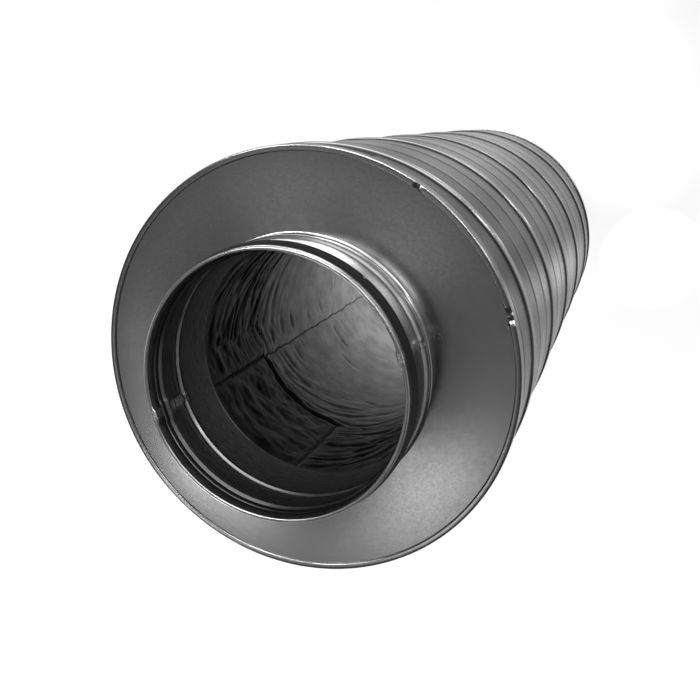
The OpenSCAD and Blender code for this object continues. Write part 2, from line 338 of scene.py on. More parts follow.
@dataclass(frozen=True)
class RolledSheet(Finish):
    """Galvanised steel sheet, rolled between beads: brighter zinc with fine lines round the sleeve."""

    name: str = "galvanised_steel_rolled"
    colour: str = "#a4a4a4"
    metallic: float = 1.0
    roughness: float = 0.28
    dull: str = "#949494"
    line: Span = (40.0, 0.9)
    cloud: float = 14.0
    cloud_span: Span = (0.35, 0.7)
    weld_colour: str = "#d2d2d2"
    weld_turn: float = 13.5
    weld_half: Span = (3.2, 2.4)
    weld_grain: float = 1.2
    weld_span: Span = (0.4, 0.6)
    # painted shade: darker zinc on the inner face of the sleeve, kept off the last few mm at each hem
    inside: str = "#606060"
    inner_shade_radii: Span = (78.9, 78.7)
    middle: float = 347.0
    hem_heights: Span = (344.5, 341.0)
    rough_span: Span = (0.3, 0.7)
    rough_range: Span = (0.23, 0.36)
    bump: Span = (0.15, 0.1)

    def draw(self, ink: Pattern) -> None:
        """Draws the rolling lines, a haze, bright zinc along the lap welds and painted shade on the inner
        face.
        """
        lines = ink.streaks(self.line, detail=3.0, roughness=0.6)
        haze = ink.spread(ink.speckle(self.cloud, detail=4.0), self.cloud_span)
        zinc = ink.blend(haze, self.colour, self.dull)
        turn = math.radians(self.weld_turn)
        across = (-math.sin(turn), math.cos(turn), 0.0)
        off = ink.reckon("ABSOLUTE", ink.measure("DOT_PRODUCT", ink.place(), across))
        band = ink.spread(off, metres(self.weld_half))
        flecks = ink.spread(ink.speckle(self.weld_grain, detail=2.0), self.weld_span)
        welded = ink.blend(ink.reckon("MULTIPLY", band, flecks), zinc, self.weld_colour)
        # painted shade on the inner face of the sleeve, faded out near each hem
        radius = ink.measure("LENGTH", ink.place(FLAT))
        inner_shade_share = ink.spread(radius, metres(self.inner_shade_radii))
        rise = ink.measure("DISTANCE", ink.place(UPRIGHT), (0.0, 0.0, self.middle * MM))
        below = ink.spread(rise, metres(self.hem_heights))
        painted_inner_shade = ink.blend(ink.reckon("MULTIPLY", inner_shade_share, below), welded, self.inside)
        ink.put("Base Color", painted_inner_shade)
        ink.put("Roughness", ink.spread(lines, self.rough_span, self.rough_range))
        ink.emboss(lines, self.bump)


@dataclass(frozen=True)
class EpdmRubber(Finish):
    """EPDM rubber, extruded: matt black with a faint grey bloom and drawn lines."""

    name: str = "epdm_rubber_extruded"
    colour: str = "#0b0b0b"
    specular: float = 0.2
    bloom: str = "#171717"
    bloom_span: Span = (0.4, 0.75)
    line: Span = (30.0, 0.8)
    rough_span: Span = (0.3, 0.7)
    rough_range: Span = (0.42, 0.62)
    bump: Span = (0.2, 0.1)

    def draw(self, ink: Pattern) -> None:
        """Draws the bloom along the extrusion."""
        lines = ink.streaks(self.line, detail=3.0, roughness=0.6)
        rubber = ink.blend(ink.spread(lines, self.bloom_span), self.colour, self.bloom)
        ink.put("Base Color", rubber)
        ink.put("Roughness", ink.spread(lines, self.rough_span, self.rough_range))
        ink.emboss(lines, self.bump)
        ink.put("Specular IOR Level", self.specular)


@dataclass(frozen=True)
class GlassTissue(Finish):
    """Glass tissue bonded on wool: matt charcoal fleece, mottled, with a dusty sheen at a low angle."""

    name: str = "glass_tissue_fleece"
    colour: str = "#4c4c4c"
    roughness: float = 0.95
    specular: float = 0.05
    sheen: float = 0.1
    sheen_roughness: float = 0.5
    dark: str = "#3c3c3c"
    mottle: float = 14.0
    mottle_span: Span = (0.4, 0.6)
    fibre: float = 1.4
    bump: Span = (0.35, 0.4)

    def draw(self, ink: Pattern) -> None:
        """Draws the fibres and the mottling, and sets the sheen."""
        mottle = ink.speckle(self.mottle, detail=5.0, roughness=0.65)
        fleece = ink.blend(ink.spread(mottle, self.mottle_span), self.colour, self.dark)
        ink.put("Base Color", fleece)
        fibre = ink.speckle(self.fibre, detail=4.0, roughness=0.7, distortion=1.5)
        ink.emboss(fibre, self.bump)
        ink.put("Sheen Weight", self.sheen)
        ink.put("Sheen Roughness", self.sheen_roughness)
        ink.put("Specular IOR Level", self.specular)


@dataclass(frozen=True)
class MineralWool(Finish):
    """Mineral wool slab, cut: dark grey-brown fibre in soft layers, partly darkened as painted shade for
    the joints.
    """

    name: str = "mineral_wool_slab"
    # dark grey-brown: partly the wool's own colour, partly painted shade for the deep joints through which
    # alone it shows
    colour: str = "#2b2925"
    roughness: float = 1.0
    dark: str = "#161513"
    layer: float = 4.0
    layer_stretch: Point = (1.0, 1.0, 0.2)
    layer_span: Span = (0.3, 0.7)
    fibre: float = 1.2
    fibre_stretch: Point = (1.0, 1.0, 0.3)
    bump: Span = (0.6, 0.6)

    def draw(self, ink: Pattern) -> None:
        """Draws the layers of the slab and its fibres."""
        layers = ink.speckle(self.layer, self.layer_stretch, detail=5.0, roughness=0.7, distortion=0.8)
        slab = ink.blend(ink.spread(layers, self.layer_span), self.colour, self.dark)
        ink.put("Base Color", slab)
        fibre = ink.speckle(self.fibre, self.fibre_stretch, detail=4.0, distortion=2.0)
        ink.emboss(fibre, self.bump)


@dataclass(frozen=True)
class Pool:
    """Round pool of brighter light on the floor: its middle and reach in metres, and its strength."""

    x: float
    y: float
    reach: float
    power: float


@dataclass(frozen=True)
class StudioFloor(Finish):
    """Painted studio floor: matt white with a barely visible unevenness."""

    name: str = "matt_white_floor_paint"
    colour: str = "#f6f6f6"
    roughness: float = 0.9
    specular: float = 0.0
    dark: str = "#f0f0f0"
    cloud: float = 400.0
    cloud_span: Span = (0.3, 0.7)
    glow: float = 0.85
    pools: tuple[Pool, ...] = (
        Pool(0.2, -0.035, 0.065, 1.6),
        Pool(0.15, 0.17, 0.13, 0.35),
        Pool(0.05, 0.2, 0.13, 0.8),
        Pool(0.33, 0.17, 0.05, 8.0),
        Pool(0.2, 0.42, 0.18, 2.4),
        Pool(0.18, 0.1, 0.1, 0.35),
    )

    def draw(self, ink: Pattern) -> None:
        """Draws the paint, and the glow and pools that only the camera and mirroring rays see."""
        cloud = ink.spread(ink.speckle(self.cloud, detail=2.0), self.cloud_span)
        ink.put("Base Color", ink.blend(cloud, self.colour, self.dark))
        ink.put("Specular IOR Level", self.specular)
        path = ink.add("ShaderNodeLightPath", {})
        seen = path.outputs["Is Camera Ray"]
        for way in ("Is Glossy Ray", "Is Transmission Ray"):
            seen = ink.reckon("MAXIMUM", seen, path.outputs[way])
        level: float | NodeSocket = self.glow
        for pool in self.pools:
            away = ink.measure("DISTANCE", ink.place(), (pool.x, pool.y, 0.0))
            light = ink.spread(away, (pool.reach, 0.0), (0.0, pool.power), "SMOOTHSTEP")
            level = ink.reckon("ADD", level, light)
        ink.put("Emission Color", linear(WHITE))
        ink.put("Emission Strength", ink.reckon("MULTIPLY", seen, level))


@dataclass(frozen=True)
class Corner:
    """Corner of a sheet's line: radius and height in mm, and the radius of the bend there."""

    r: float
    z: float
    bend: float = 0.0

    def vector(self) -> Vector:
        """The corner in metres, in the XZ plane."""
        return Vector((self.r * MM, 0.0, self.z * MM))


def draw_line(bm: BMesh, corners: Sequence[Corner], closed: bool, segments: int) -> None:
    """Draws a line through corners in the XZ plane and rounds each corner that has a bend.

    Args:
        bm: the mesh that gets the line.
        corners: the corners in order.
        closed: True for a closed outline.
        segments: straight pieces that stand for one bend.
    """
    verts = [bm.verts.new(corner.vector()) for corner in corners]
    count = len(verts)
    for i in range(count if closed else count - 1):
        bm.edges.new((verts[i], verts[(i + 1) % count]))
    for i, corner in enumerate(corners):
        if corner.bend == 0:
            continue
        here = corner.vector()
        before = corners[i - 1].vector() - here
        after = corners[(i + 1) % count].vector() - here
        half = before.angle(after) / 2
        bmesh.ops.bevel(
            bm, geom=[verts[i]], offset=corner.bend * MM / math.tan(half), offset_type="OFFSET",
            segments=segments, profile=0.5, affect="VERTICES", material=-1,
        )


def spin(bm: BMesh, angle: float, steps: int, rise: float = 0.0) -> None:
    """Spins all that is drawn round the Z axis by an angle in radians, each step up by a rise in metres."""
    bmesh.ops.spin(
        bm, geom=bm.verts[:] + bm.edges[:], cent=(0, 0, 0), axis=(0, 0, 1), dvec=(0, 0, rise),
        angle=angle, steps=steps, use_merge=False, use_duplicate=False,
    )


def everything(bm: BMesh) -> list[Any]:
    """All vertices, edges and faces of a mesh."""
    return bm.verts[:] + bm.edges[:] + bm.faces[:]


def copied_verts(bm: BMesh, geom: list[Any]) -> list[BMVert]:
    """Copies a part of a mesh in place and returns the vertices of the copy."""
    made = bmesh.ops.duplicate(bm, geom=geom)["geom"]
    return [item for item in made if isinstance(item, BMVert)]


def revolve(bm: BMesh, steps: int, parts: int = 12) -> None:
    """Spins all that is drawn a full turn round the Z axis: one of equal parts is spun and then copied."""
    share = 2 * math.pi / parts
    spin(bm, share, steps // parts)
    part = everything(bm)
    for i in range(1, parts):
        turned = Matrix.Rotation(i * share, 3, "Z")
        bmesh.ops.rotate(bm, cent=(0, 0, 0), matrix=turned, verts=copied_verts(bm, part))
    bmesh.ops.remove_doubles(bm, verts=bm.verts[:], dist=MERGE)
    bmesh.ops.recalc_face_normals(bm, faces=bm.faces[:])


def turn_of(vert: BMVert) -> float:
    """Angle of a vertex about the axis, in degrees anticlockwise seen from the front."""
    return math.degrees(math.atan2(vert.co.y, vert.co.x))


def radius_of(vert: BMVert) -> float:
    """Distance of a vertex from the axis, in mm."""
    return Vector((vert.co.x, vert.co.y)).length / MM


def push_out(vert: BMVert, distance: float) -> None:
    """Moves a vertex away from the axis by a distance in mm."""
    side = Vector((vert.co.x, vert.co.y, 0)).normalized()
    vert.co += side * distance * MM


def finish_piece(
    bm: BMesh, name: str, node: str, finish: Finish, wall: float, crease: float
) -> Object:
    """Turns a mesh into a piece that stands for a CAD node.

    Args:
        bm: the mesh in metres, in the frame of the part.
        name: the piece's name.
        node: the CAD node that it replaces.
        finish: its finish.
        wall: sheet thickness in mm, laid half to each side, or 0 for a closed mesh.
        crease: angle in degrees above which an edge is shaded sharp.

    Returns:
        The new object.
    """
    for face in bm.faces:
        face.smooth = True
    mesh = bpy.data.meshes.new(name)
    bm.to_mesh(mesh)
    bm.free()
    mesh.set_sharp_from_angle(angle=math.radians(crease))
    mesh.materials.append(finish.material())
    piece = bpy.data.objects.new(name, mesh)
    bpy.context.scene.collection.objects.link(piece)
    if wall > 0:
        skin = piece.modifiers.new("sheet_wall", "SOLIDIFY")
        skin.thickness = wall * MM
        skin.offset = 0.0
        skin.use_even_offset = True
    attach(piece, "root")
    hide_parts(node)
    log.info("%s stands for %s with %d faces", name, node, len(mesh.polygons))
    return piece


@dataclass
class SpiralCasing:
    """Tube wound from one strip, with a lock seam and two shallow ribs in each turn."""

    radius: float = 130.3
    wall: float = 0.6
    low: float = 47.9
    high: float = 646.1
    pitch: float = 119.0
    seam_z: float = 589.0
    seam_w: float = 8.0
    seam_h: float = 1.5
    seam_flank: float = 1.05
    seam_flat: float = 2.0
    seam_dip: float = 0.4
    seam_bend: float = 0.6
    foot: float = 1.5
    foot_bend: float = 0.8
    rib_w: float = 9.0
    rib_h: float = 0.4
    rib_bend: float = 20.0
    rib_count: int = 2
    clear: float = 11.0
    fade: float = 6.0
    rims: Span = (47.0, 647.0)
    steps: int = 144
    segments: int = 3
    merge: float = 0.02
    crease: float = 50.0
    ripple: float = 0.05
    ripple_sizes: Span = (70.0, 24.0)

    def strip(self) -> list[Corner]:
        """Corners of one pitch of the wall, from below the seam to just below the next one."""
        crest = self.radius + self.seam_h
        dip = crest - self.seam_dip
        half = self.seam_w / 2
        start = -self.seam_w * 2
        flank = [
            Corner(self.radius, half + self.foot),
            Corner(self.radius, half, self.foot_bend),
            Corner(crest, half - self.seam_flank, self.seam_bend),
            Corner(dip, self.seam_flat / 2, self.seam_bend),
        ]
        mirrored = [Corner(corner.r, -corner.z, corner.bend) for corner in flank]
        line = [Corner(self.radius, start)] + mirrored + flank[::-1]
        for i in range(self.rib_count):
            middle = self.pitch * (i + 1) / (self.rib_count + 1)
            for side, rise in ((-0.5, 0.0), (0.0, self.rib_h), (0.5, 0.0)):
                line.append(Corner(self.radius + rise, middle + side * self.rib_w, self.rib_bend))
        return line + [Corner(self.radius, start + self.pitch)]

    def share(self, z: float) -> float:
        """Share of the seam's height that is left at height z in mm, near a rim."""
        from_rim = min(z - self.rims[0], self.rims[1] - z)
        return min(1.0, max(0.0, (from_rim - self.clear) / self.fade))

    def settle(self, vert: BMVert) -> None:
        """Presses the seam flat near the rims, and elsewhere gives the wall a faint ripple."""
        share = self.share(vert.co.z / MM)
        wide, fine = (noise.noise(vert.co * per_mm(size)) for size in self.ripple_sizes)
        wave = wide + 0.5 * fine
        push_out(vert, (self.radius - radius_of(vert)) * (1 - share) + self.ripple * (wave - 1) * share)

    def build(self) -> Object:
        """Winds the strip, cuts both ends square, presses the seam flat at the rims and dresses it."""
        bm = bmesh.new()
        draw_line(bm, self.strip(), closed=False, segments=self.segments)
        below = math.ceil((self.seam_z - self.low) / self.pitch) + 1
        turns = below + 1
        bmesh.ops.translate(bm, vec=(0, 0, (self.seam_z - below * self.pitch) * MM), verts=bm.verts[:])
        spin(bm, 2 * math.pi, self.steps, self.pitch * MM / self.steps)
        turn = everything(bm)
        for i in range(1, turns):
            bmesh.ops.translate(bm, vec=(0, 0, i * self.pitch * MM), verts=copied_verts(bm, turn))
        bmesh.ops.remove_doubles(bm, verts=bm.verts[:], dist=self.merge * MM)
        for z, way in ((self.low, -1), (self.high, 1)):
            bmesh.ops.bisect_plane(
                bm, geom=everything(bm), dist=CUT, plane_co=(0, 0, z * MM), plane_no=(0, 0, way),
                clear_outer=True,
            )
        for vert in bm.verts:
            self.settle(vert)
        bmesh.ops.recalc_face_normals(bm, faces=bm.faces[:])
        return finish_piece(
            bm, "spiral_casing", "outer_casing", GalvanisedStrip(), self.wall, self.crease
        )


@dataclass(frozen=True)
class Dent:
    """Small dent in a rim: its angle in degrees, and its width and depth in mm."""

    turn: float
    width: float
    depth: float

    def share(self, vert: BMVert, radius: float) -> float:
        """Share of the depth that a vertex at this radius in mm gets, from 1 in the middle to 0."""
        off = math.radians(degrees_apart(turn_of(vert), self.turn)) * radius
        return bell(off, 0.0, self.width / 2)


@dataclass
class EndPlate:
    """Pressed lid: collar, flat, raised rim band and skirt in one sheet, with dents in the rim."""

    end: End
    wall: float = 0.7
    collar: float = 79.65
    rim: float = 128.05
    skirt: float = 131.15
    flat: float = -1.55
    crest: float = -0.35
    collar_h: float = 1.5
    collar_bend: float = 2.0
    rim_bend: float = 0.45
    skirt_len: float = 8.0
    steps: int = 576
    segments: int = 6
    crease: float = 40.0
    slack: float = 0.1
    crimp_span: Span = (-4.0, -0.8)
    crimps: tuple[Dent, ...] = (
        Dent(12.3, 2.4, 1.1),
        Dent(14.6, 2.4, 1.5),
        Dent(13.5, 1.4, -0.3),
        Dent(53.0, 2.2, 1.3),
    )

    def line(self) -> list[Corner]:
        """Centre line of the sheet."""
        high = self.end.height
        return [
            Corner(self.collar, high(self.collar_h)),
            Corner(self.collar, high(self.flat), self.collar_bend),
            Corner(self.rim, high(self.flat), self.rim_bend),
            Corner(self.rim, high(self.crest), self.rim_bend),
            Corner(self.skirt, high(self.crest), self.rim_bend),
            Corner(self.skirt, high(-self.skirt_len)),
        ]

    def crimp(self, bm: BMesh) -> None:
        """Presses the dents into the crest of the rim."""
        for vert in bm.verts:
            r = radius_of(vert)
            above = self.end.above_rim(vert.co.z)
            if r < self.rim - self.slack or above < self.crimp_span[0]:
                continue
            drop = sum(dent.depth * dent.share(vert, r) for dent in self.crimps)
            vert.co.z -= self.end.way * drop * smooth_step(*self.crimp_span, above) * MM

    def build(self) -> Object:
        """Spins the lid, dents its rim at the front and dresses it."""
        bm = bmesh.new()
        draw_line(bm, self.line(), closed=False, segments=self.segments)
        revolve(bm, self.steps)
        if self.end is End.FRONT:
            self.crimp(bm)
        name, node = f"{self.end.label}_lid", f"{self.end.label}_end_plate"
        return finish_piece(bm, name, node, SpangledSheet(), self.wall, self.crease)


@dataclass(frozen=True)
class Weld:
    """Lap weld along a spigot: its angle in degrees, and in mm how far it presses the sheet.

    A span gives two distances, from the middle of the weld or from the rim, between which a press fades.
    """

    turn: float
    radius: float = 79.0
    lap: float = 0.5
    lap_from: Span = (2.0, 4.0)
    lap_span: Span = (2.4, 3.6)
    spatter: float = 0.5
    spatter_size: float = 1.6
    bead: float = 1.1
    bead_at: float = 8.5
    bead_half: float = 3.0
    bead_span: Span = (1.4, 3.2)
    seat: float = 0.8
    seat_from: float = 29.0
    seat_span: Span = (4.5, 8.0)
    hem: float = 1.3
    hem_from: float = 40.0
    hem_radii: Span = (77.4, 78.8)
    hem_span: Span = (2.0, 6.5)

    def push(self, vert: BMVert, above: float) -> float:
        """Distance from the axis, in mm, that the weld adds to a vertex this far outside the rim."""
        far = abs(math.radians(degrees_apart(turn_of(vert), self.turn)) * self.radius)
        if above > self.hem_from:
            inner = 1 - smooth_step(*self.hem_radii, radius_of(vert))
            return -self.hem * inner * (1 - smooth_step(*self.hem_span, far))
        if above > self.seat_from:
            return -self.seat * (1 - smooth_step(*self.seat_span, far))
        share = smooth_step(*self.lap_from, above) * (1 - smooth_step(*self.lap_span, far))
        rough = self.spatter * noise.noise(vert.co * per_mm(self.spatter_size))
        crest = bell(above, self.bead_at, self.bead_half) * (1 - smooth_step(*self.bead_span, far))
        return share * (self.lap + rough) - self.bead * crest


@dataclass
class Spigot:
    """Rolled sleeve: plain inner end, stop bead, gasket seat and folded hem in one sheet, lap welded.

    A pair is a radius and a distance outside the rim, both in mm.
    """

    end: End
    wall: float = 0.6
    sleeve: float = 78.9
    inner_end: float = -30.0
    bead: Span = (82.05, 8.5)
    bead_half: float = 3.5
    bead_bend: float = 3.33
    neck_at: float = 28.5
    throat: Span = (75.1, 31.7)
    seat: float = 77.3
    seat_at: float = 34.0
    groove: Span = (76.6, 37.8)
    groove_half: float = 1.0
    hem: float = 79.1
    hem_at: float = 42.0
    top: float = 46.7
    bend: float = 1.2
    seat_bend: float = 0.6
    hem_bend: float = 0.7
    steps: int = 420
    segments: int = 5
    stretch: float = 1.5
    crease: float = 40.0
    welds: tuple[Weld, ...] = (Weld(13.0), Weld(194.0))

    def line(self) -> list[Corner]:
        """Centre line of the sheet."""
        points = [
            (self.sleeve, self.inner_end, 0.0),
            (self.sleeve, self.bead[1] - self.bead_half, self.bend),
            (*self.bead, self.bead_bend),
            (self.sleeve, self.bead[1] + self.bead_half, self.bend),
            (self.sleeve, self.neck_at, self.bend),
            (*self.throat, self.bend),
            (self.seat, self.seat_at, self.seat_bend),
            (self.seat, self.groove[1] - self.groove_half, self.seat_bend),
            (*self.groove, self.seat_bend),
            (self.seat, self.groove[1] + self.groove_half, self.seat_bend),
            (self.seat, self.top, self.hem_bend),
            (self.hem, self.top, self.hem_bend),
            (self.hem, self.hem_at, 0.0),
        ]
        return [Corner(r, self.end.height(above), bend) for r, above, bend in points]

    def divide(self, bm: BMesh) -> None:
        """Cuts the long straight stretches of the line so that the welds have points to press."""
        for edge in list(bm.edges):
            cuts = int(edge.calc_length() / MM / self.stretch)
            if cuts:
                bmesh.ops.subdivide_edges(bm, edges=[edge], cuts=cuts)

    def build(self) -> Object:
        """Spins the sleeve, presses its welds in and dresses it."""
        bm = bmesh.new()
        draw_line(bm, self.line(), closed=False, segments=self.segments)
        self.divide(bm)
        revolve(bm, self.steps)
        for vert in bm.verts:
            above = self.end.above_rim(vert.co.z)
            push_out(vert, sum(weld.push(vert, above) for weld in self.welds))
        name, node = f"{self.end.label}_sleeve", f"{self.end.label}_spigot"
        return finish_piece(bm, name, node, RolledSheet(), self.wall, self.crease)


@dataclass
class Gasket:
    """Rubber ring: heel, clamped foot, body and two lips that lean away from the end of the spigot."""

    end: End
    inside: float = 77.65
    heel: Span = (76.41, 32.5)
    heel_top: float = 33.8
    heel_bend: float = 0.2
    clamped: float = 78.75
    body: float = 79.05
    tip: float = 81.0
    bottom: float = 31.7
    top: float = 46.0
    bend: float = 0.3
    under_hem: float = 41.9
    roots: Span = (34.5, 39.7)
    root_t: float = 2.2
    root_bend: float = 0.25
    lean: float = 2.1
    land: float = 1.0
    lip_bend: float = 0.4
    steps: int = 480
    segments: int = 3
    crease: float = 45.0
    butt: Dent = Dent(47.0, 1.5, 1.0)

    def outline(self) -> list[Corner]:
        """Outline of the rubber section."""
        high = self.end.height
        points = [
            Corner(self.heel[0], high(self.heel[1]), self.heel_bend),
            Corner(self.body, high(self.bottom), self.lip_bend),
        ]
        for root in self.roots:
            points += [
                Corner(self.body, high(root), self.root_bend),
                Corner(self.tip, high(root - self.lean), self.bend),
                Corner(self.tip, high(root - self.lean + self.land), self.lip_bend),
                Corner(self.body, high(root + self.root_t), self.root_bend),
            ]
        return points[:-1] + [
            Corner(self.body, high(self.under_hem)),
            Corner(self.clamped, high(self.under_hem)),
            Corner(self.clamped, high(self.top), self.bend),
            Corner(self.inside, high(self.top), self.bend),
            Corner(self.inside, high(self.heel_top)),
        ]

    def build(self) -> Object:
        """Spins the section, opens its butt joint and dresses it."""
        bm = bmesh.new()
        draw_line(bm, self.outline(), closed=True, segments=self.segments)
        revolve(bm, self.steps)
        for vert in bm.verts:
            r = radius_of(vert)
            proud = smooth_step(self.clamped, self.tip, r)
            push_out(vert, -self.butt.depth * proud * self.butt.share(vert, r))
        name, node = f"{self.end.label}_seal", f"{self.end.label}_gasket"
        return finish_piece(bm, name, node, EpdmRubber(), 0.0, self.crease)


@dataclass(frozen=True)
class Fold:
    """Short groove pressed in the tissue: where its middle is, how it runs and how deep it is."""

    turn: float
    z: float
    length: float
    tilt: float
    depth: float = 1.2
    width: float = 2.0

    def drop(self, du: float, dz: float) -> float:
        """Depth in mm at a point that lies this far round and along from the middle, in mm."""
        tilt = math.radians(self.tilt)
        run = abs(du * math.cos(tilt) + dz * math.sin(tilt))
        off = dz * math.cos(tilt) - du * math.sin(tilt)
        if run >= self.length or abs(off) >= 5 * self.width:
            return 0.0
        ends = 1 - smooth_step(self.length * 0.3, self.length * 0.5, run)
        return self.depth * ends * bell(off, 0.0, self.width)


@dataclass(frozen=True)
class Ripple:
    """Unevenness of a sheet: its sizes round and along the tube, its height and its creases, in mm."""

    around: float
    along: float
    seed: float
    rise: float
    crease: float = 0.0
    crease_w: float = 1.0

    def height(self, u: float, z: float) -> float:
        """Height in mm at a point u round the tube and z along it."""
        value = noise.noise(Vector((u / self.around, z / self.along, self.seed)))
        return self.rise * value - self.crease * bell(value, 0.0, self.crease_w)


@dataclass
class Facing:
    """Tissue sheet on the bore of one wool piece, with swellings, creases and ragged cut edges."""

    name: str
    node: str
    start: float
    sweep: float
    low: float
    high: float
    grid: Span
    radius: float = 79.65
    wall: float = 0.4
    crease: float = 180.0
    sleeve_end: float = 617.0
    finish: GlassTissue = GlassTissue()
    lumpy: bool = False
    open_low: bool = True
    open_arc: Span = (0.0, 0.0)
    open_fade: Span = (-1.0, 6.0)
    folds: tuple[Fold, ...] = ()
    grade: float = 0.0
    swell: float = 1.6
    swell_share: float = 0.775
    swelling: Ripple = Ripple(30.0, 26.0, 3.1, 0.225)
    lumps: tuple[Ripple, ...] = (Ripple(15.0, 13.0, 5.2, 1.9), Ripple(6.0, 5.0, 2.2, 0.7))
    creases: tuple[Ripple, ...] = (
        Ripple(40.0, 10.0, 7.7, 0.5, 1.3, 0.13),
        Ripple(22.0, 5.0, 1.3, 0.25, 0.7, 0.14),
    )
    crease_slope: float = 0.45
    crease_from: Span = (440.0, 540.0)
    side_fade: float = 7.0
    sleeve_fade: Span = (14.0, 2.0)
    low_fade: float = 3.0
    high_fade: float = 2.4
    roll: float = 1.5
    roll_at: Span = (3.2, 1.3)
    dip_at: Span = (6.5, 1.8)
    dip_share: float = 0.35
    ragged: float = 2.2
    ragged_reach: float = 8.0
    ragged_share: float = 0.5
    rags: tuple[Ripple, ...] = (Ripple(1.0, 9.0, 4.4, 0.7), Ripple(1.0, 3.0, 8.1, 0.4))

    @property
    def arc(self) -> float:
        """Length of one degree of the bonded line, in mm."""
        return math.radians(1) * self.radius

    def open_high(self, turn: float) -> float:
        """Share of an open joint in the upper edge at this angle, 0 where it meets the next sheet."""
        half = self.open_arc[1] / 2
        off = abs(degrees_apart(turn, self.open_arc[0] + half))
        return 1 - smooth_step(half + self.open_fade[0], half + self.open_fade[1], off) if half else 0.0

    def bonded(self, turn: float, z: float) -> float:
        """Share of its swelling that the tissue has at an angle and a height, 0 at its bonded edges."""
        from_start = ((turn - self.start) % 360) * self.arc
        from_end = self.sweep * self.arc - from_start
        share = smooth_step(0.0, self.side_fade, min(from_start, from_end))
        below_sleeve = [self.sleeve_end - fade for fade in self.sleeve_fade]
        share *= 1.0 - smooth_step(*below_sleeve, z)
        if self.open_low:
            share *= smooth_step(0.0, self.low_fade, z - self.low)
        if self.high < self.sleeve_end:
            share *= 1 - self.open_high(turn) * (1 - smooth_step(0.0, self.high_fade, self.high - z))
        return share

    def height(self, turn: float, z: float) -> float:
        """How far in mm the tissue stands in from its bonded line, at an angle and a height in mm."""
        u = turn * self.arc
        rise = self.swell * (self.swell_share + self.swelling.height(u, z))
        if self.lumpy:
            rise += sum(lump.height(u, z) for lump in self.lumps)
        else:
            side = -1.0 if degrees_apart(turn, 180) < 0 else 1.0
            slant = z + side * self.crease_slope * u
            front = smooth_step(*self.crease_from, z)
            rise += sum(front * layer.height(u, slant) for layer in self.creases)
        if self.high < self.sleeve_end:
            below = self.high - z
            ridge = bell(below, *self.roll_at) - self.dip_share * bell(below, *self.dip_at)
            rise += self.open_high(turn) * self.roll * ridge
        for fold in self.folds:
            rise -= fold.drop(degrees_apart(turn, fold.turn) * self.arc, z - fold.z)
        return max(0.0, rise) * self.bonded(turn, z)

    def fray(self, vert: BMVert) -> None:
        """Draws the cut edges along the tube back unevenly."""
        from_start = ((turn_of(vert) - self.start + 1) % 360 - 1) * self.arc
        from_end = self.sweep * self.arc - from_start
        way = 1.0 if from_start < from_end else -1.0
        near = 1 - smooth_step(0.0, self.ragged_reach, min(from_start, from_end))
        uneven = self.ragged_share + sum(rag.height(way, vert.co.z / MM) for rag in self.rags)
        back = self.ragged * near * min(1.0, max(0.0, uneven))
        vert.co.rotate(Matrix.Rotation(way * back / self.radius, 3, "Z"))

    def build(self) -> Object:
        """Spins a ruled strip, swells and creases it, and dresses it."""
        bm = bmesh.new()
        turn = math.radians(self.start)
        sweep = math.radians(self.sweep)
        length = self.high - self.low
        side = Vector((math.cos(turn), math.sin(turn), 0)) * self.radius * MM
        ends = [bm.verts.new(side + Vector((0, 0, z * MM))) for z in (self.low, self.high)]
        edge = bm.edges.new(ends)
        bmesh.ops.subdivide_edges(bm, edges=[edge], cuts=round(length / self.grid[1]) - 1)
        for vert in bm.verts:
            share = (vert.co.z / MM - self.low) / length
            vert.co.z = (self.low + length * share * (1 + self.grade * (1 - share))) * MM
        spin(bm, sweep, round(sweep * self.radius / self.grid[0]))
        bmesh.ops.recalc_face_normals(bm, faces=bm.faces[:])
        for vert in bm.verts:
            push_out(vert, -self.height(turn_of(vert), vert.co.z / MM))
            self.fray(vert)
        piece = finish_piece(bm, self.name, self.node, self.finish, self.wall, self.crease)
        return piece


